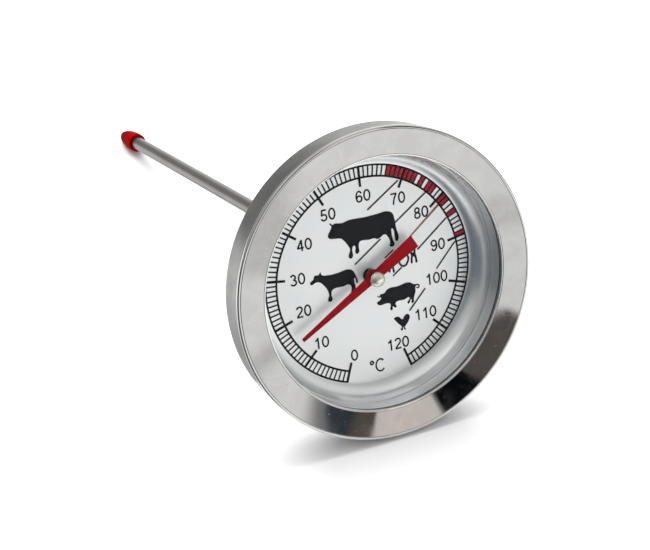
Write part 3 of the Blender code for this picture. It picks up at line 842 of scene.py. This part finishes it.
def make_stem(steel, fixing, silicone):
    tube = ring_corners(STEM_BORE_R, STEM_R, STEM_TOP_Z, STEM_END_Z, 0.08)
    turned("stem_pipe", tube, [steel], "thermometer", "brushed_steel", "stem_tube", segments=FINE_SEGMENTS)
    tip = [(0.0, PLUG_TOP_Z, 0), (PLUG_R, PLUG_TOP_Z, 0.05), (PLUG_R, STEM_END_Z - 0.1, 0.02),
           (STEM_R, STEM_END_Z - 0.1, 0.08), (0.35, TIP_Z + 0.1, 0.25), (0.0, TIP_Z, 0)]
    turned("stem_point", tip, [steel], "thermometer", "brushed_steel", "stem_tip", closed=False,
           segments=FINE_SEGMENTS)
    rim_top, end = FERRULE_Z
    bore = STEM_R + 0.05
    ferrule = [
        (SPIGOT_R, STEM_TOP_Z, 0.15), (SPIGOT_R, rim_top, 0.05), (FERRULE_R, rim_top, 0.15),
        (FERRULE_R, rim_top - 1.2, 0.25), (FERRULE_R - 1.6, rim_top - 2.2, 0.8), (2.3, end, 0.3),
        (bore, end, 0.05), (bore, STEM_TOP_Z, 0.05),
    ]
    turned("ferrule_cone", ferrule, [fixing], "thermometer", "brushed_steel", "stem_ferrule",
           segments=FERRULE_SEGMENTS)
    taper = [math.pi / 2 * k / 24 for k in range(25)]
    egg = [(CAP_R * math.cos(a), CAP_TAPER_Z + (CAP_END_Z - CAP_TAPER_Z) * math.sin(a), 0) for a in taper]
    cap = [
        (0.0, CAP_BORE_END_Z, 0), (0.5, CAP_BORE_END_Z, 0.1), (CAP_BORE_R, STEM_END_Z - 0.4, 0.3),
        (CAP_BORE_R, CAP_MOUTH_Z, 0.15), (CAP_R - 0.03, CAP_MOUTH_Z, 0.28), *egg[:-1], (0.0, CAP_END_Z, 0),
    ]
    turned("cap_sleeve", cap, [silicone], "cap", "red_silicone", "tip_cap", closed=False,
           segments=FINE_SEGMENTS)


def finish_inner_nodes(steel, brass, rubber):
    """The CAD nodes that show as they are: the movement, the guides and the ferrule's fixings."""
    plastic = dull("grey_plastic", (0.28, 0.28, 0.29), (0.38, 0.38, 0.39), 0.55)
    bimetal = turned_metal("bimetal_strip", (0.36, 0.28, 0.22), (0.56, 0.47, 0.40), 0.35)
    finishes = {
        "dial_spacer": plastic, "bimetal_helix": bimetal, "ferrule_washer": steel, "spindle": steel,
        "ferrule_nut": brass, "upper_guide": brass, "lower_guide": brass, "helix_anchor": brass,
        "spindle_collar": brass, "ferrule_seal": rubber,
    }
    for node, made in finishes.items():
        mesh = frame["nodes"][node].data
        mesh.materials.clear()
        mesh.materials.append(made)


def make_thermometer():
    steel = polished_steel()
    brushed = brushed_steel("brushed_skirt", 3.0, 9000.0, 0.28)
    back = brushed_steel("brushed_back", 4.0, 6000.0, 0.40)
    tube = stem_steel()
    aluminium = satin_aluminium()
    black = ink("black_ink", (0.003, 0.0045, 0.006))
    red = ink("red_ink", (0.33, 0.010, 0.025))
    # Painted reflection: the red pointer's reflection on the lamb's printed leader line.
    reflection_tinted_ink = ink("leader_ink_painted_reflection", (0.22, 0.09, 0.065))
    brass = turned_metal("turned_brass", (0.62, 0.42, 0.17), (0.80, 0.60, 0.28))
    rubber = dull("black_rubber", (0.018, 0.018, 0.019), (0.04, 0.04, 0.042), 0.6)
    make_bezel(steel, brushed)
    make_case(back)
    make_window(clear_glass(), rubber, aluminium)
    make_dial(aluminium)
    print_scale(black, red)
    print_figures(black)
    print_leaders(black, reflection_tinted_ink)
    print_animals(black)
    # The hub bush's near-black colour is partly its dark finish and partly painted shade from the pointer
    # above it.
    bush = turned_metal("dark_brass_painted_shade", (0.02, 0.017, 0.015), (0.05, 0.045, 0.04))
    bare = dull("bare_underside", (0.46, 0.47, 0.48), (0.56, 0.57, 0.58), 0.5)
    make_pointer(red_paint(), bare, pearl_metal(), bush)
    make_stem(tube, back, red_silicone())
    finish_inner_nodes(tube, brass, rubber)


# Camera, in head coordinates
CAMERA_AT = (-117.8, 97.8, 254.6)
CAMERA_AIM = (-11.6, 4.8, 0.0)
CAMERA_ROLL = 1.8
CAMERA_LENS = 95.66
SENSOR_WIDTH = 36.0


def make_camera():
    camera = bpy.data.cameras.new("camera")
    camera.lens = CAMERA_LENS
    camera.sensor_width = SENSOR_WIDTH
    camera.clip_start = 0.01
    obj = bpy.data.objects.new("camera", camera)
    bpy.context.scene.collection.objects.link(obj)
    place = HEAD @ (Vector(CAMERA_AT) * MM)
    view = HEAD @ (Vector(CAMERA_AIM) * MM) - place
    turn = view.to_track_quat("-Z", "Y").to_matrix().to_4x4()
    roll = Matrix.Rotation(-math.radians(CAMERA_ROLL), 4, "Z")
    obj.matrix_world = Matrix.Translation(place) @ turn @ roll
    bpy.context.scene.camera = obj


# Floor: shiny things see only the near part, and beyond it the room that make_world draws
FLOOR_Z = -0.06
FLOOR_MIDDLE_R = 0.0005
NEAR_FLOOR_R = 0.03
FAR_FLOOR_R = 4.0
FLOOR_SEGMENTS = 96


def floor_piece(name, inner_r, outer_r, made):
    """A flat ring of floor under the head, filled in when it starts at the middle."""
    shape = bmesh.new()
    angles = [2 * math.pi * k / FLOOR_SEGMENTS for k in range(FLOOR_SEGMENTS)]
    rims = []
    for r in (inner_r, outer_r):
        rims.append([shape.verts.new((r * math.cos(a), r * math.sin(a), 0.0)) for a in angles])
    for k in range(FLOOR_SEGMENTS):
        after = (k + 1) % FLOOR_SEGMENTS
        shape.faces.new([rims[0][k], rims[1][k], rims[1][after], rims[0][after]])
    if inner_r == FLOOR_MIDDLE_R:
        shape.faces.new(rims[0])
    mesh = bpy.data.meshes.new(name)
    shape.to_mesh(mesh)
    shape.free()
    mesh.materials.append(made)
    obj = bpy.data.objects.new(name, mesh)
    obj.location = (0.0, HEAD.translation.y, FLOOR_Z * MM)
    bpy.context.scene.collection.objects.link(obj)
    return obj


def make_floor():
    made, tree, shader = finish("floor_paper")
    tooth = noise(tree, object_position(tree), 900.0, detail=3.0)
    feed(tree, shader, Base_Color=mix_colour(tree, tooth, (0.86, 0.86, 0.86), (0.88, 0.88, 0.88)),
         Roughness=0.9, Specular_IOR_Level=0.1)
    floor_piece("floor_near", FLOOR_MIDDLE_R, NEAR_FLOOR_R, made)
    far = floor_piece("floor_far", NEAR_FLOOR_R, FAR_FLOOR_R, made)
    far.visible_glossy = False


# Studio: a wide scrim overhead lights everything softly, and the room shows in shiny surfaces
SCRIM_TILT = (-30.0, 9.0)
SCRIM_STRENGTH = 4.2
SCRIM_SPREAD = 70.0


def make_scrim():
    light = bpy.data.lights.new("scrim", "SUN")
    light.angle = math.radians(SCRIM_SPREAD)
    light.energy = SCRIM_STRENGTH
    obj = bpy.data.objects.new("scrim", light)
    obj.rotation_euler = (*map(math.radians, SCRIM_TILT), 0.0)
    obj.visible_glossy = False
    bpy.context.scene.collection.objects.link(obj)


# Light level of the room against the height of the view in degrees
ROOM_LEVELS = (
    (-90.0, 0.70), (-38.0, 0.74), (-21.0, 1.30), (-4.5, 1.26), (-3.0, 0.35), (8.0, 0.42), (35.0, 0.52),
    (60.0, 0.78), (90.0, 0.90),
)

# What matt surfaces get from the room, beside the scrim's light
AMBIENT = (0.9, 0.9, 0.9)

# What the camera sees past the floor
BACKDROP = (0.93, 0.93, 0.93)

# (middle azimuth, half width, edge, lowest, highest, edge, colour): degrees, right of the front
PANELS = (
    (-56.0, 63.0, 18.0, -76.0, 14.0, 12.0, (0.10, 0.12, 0.145)),
    (-90.0, 35.0, 20.0, 48.0, 80.0, 10.0, (1.15, 1.15, 1.15)),
    (72.0, 34.0, 14.0, -1.0, 45.0, 6.0, (0.74, 0.74, 0.73)),
    (135.0, 36.0, 20.0, -8.0, 60.0, 8.0, (1.1, 1.1, 1.09)),
    (14.4, 1.2, 1.5, -12.6, -9.9, 1.5, (1.02, 1.02, 1.01)),
    (32.6, 1.6, 2.0, -8.9, -7.6, 1.2, (0.93, 0.93, 0.92)),
    (32.8, 2.6, 2.0, -16.9, -13.4, 1.2, (0.99, 0.99, 0.98)),
    (15.6, 1.6, 0.5, -4.3, 12.0, 0.6, (0.155, 0.137, 0.125)),
    (18.4, 1.3, 0.25, -3.0, 12.0, 1.0, (0.004, 0.006, 0.008)),
    (22.3, 2.4, 0.25, -3.0, 12.0, 1.0, (1.08, 1.00, 0.95)),
    (25.6, 0.9, 0.4, -2.9, 12.0, 0.6, (0.15, 0.125, 0.11)),
    (27.6, 1.3, 0.7, -2.75, 12.0, 0.6, (0.055, 0.07, 0.09)),
)


def make_world():
    world = bpy.data.worlds.new("studio")
    bpy.context.scene.world = world
    world.use_nodes = True
    tree = world.node_tree
    toward = add(tree, "ShaderNodeTexCoord").outputs["Generated"]
    parts = add(tree, "ShaderNodeSeparateXYZ", {0: toward}).outputs
    height = calc(tree, "DEGREES", calc(tree, "ARCSINE", parts["Z"]))
    front = calc(tree, "MULTIPLY", parts["Y"], -1.0)
    azimuth = calc(tree, "DEGREES", calc(tree, "ARCTAN2", parts["X"], front))
    level = ROOM_LEVELS[0][1]
    for (low, before), (high, after) in zip(ROOM_LEVELS, ROOM_LEVELS[1:]):
        level = calc(tree, "ADD", level, ramp(tree, height, low, high, 0.0, after - before))
    colour = add(tree, "ShaderNodeCombineXYZ", {"X": level, "Y": level, "Z": level}).outputs[0]
    for middle, half, side_edge, low, high, level_edge, shade in PANELS:
        off = calc(tree, "ABSOLUTE", calc(tree, "SUBTRACT", azimuth, middle))
        inside = ramp(tree, off, half - side_edge / 2, half + side_edge / 2, 1.0, 0.0)
        above = ramp(tree, height, low - level_edge / 2, low + level_edge / 2)
        below = ramp(tree, height, high - level_edge / 2, high + level_edge / 2, 1.0, 0.0)
        cover = calc(tree, "MULTIPLY", calc(tree, "MULTIPLY", inside, above), below)
        colour = mix_colour(tree, cover, colour, shade)
    ray = add(tree, "ShaderNodeLightPath").outputs
    colour = mix_colour(tree, ray["Is Diffuse Ray"], colour, AMBIENT)
    backdrop = mix_colour(tree, ray["Is Camera Ray"], colour, BACKDROP)
    tree.links.new(backdrop, tree.nodes["Background"].inputs["Color"])


make_thermometer()
make_camera()
make_floor()
make_scrim()
make_world()
bpy.context.scene.view_settings.view_transform = "Standard"
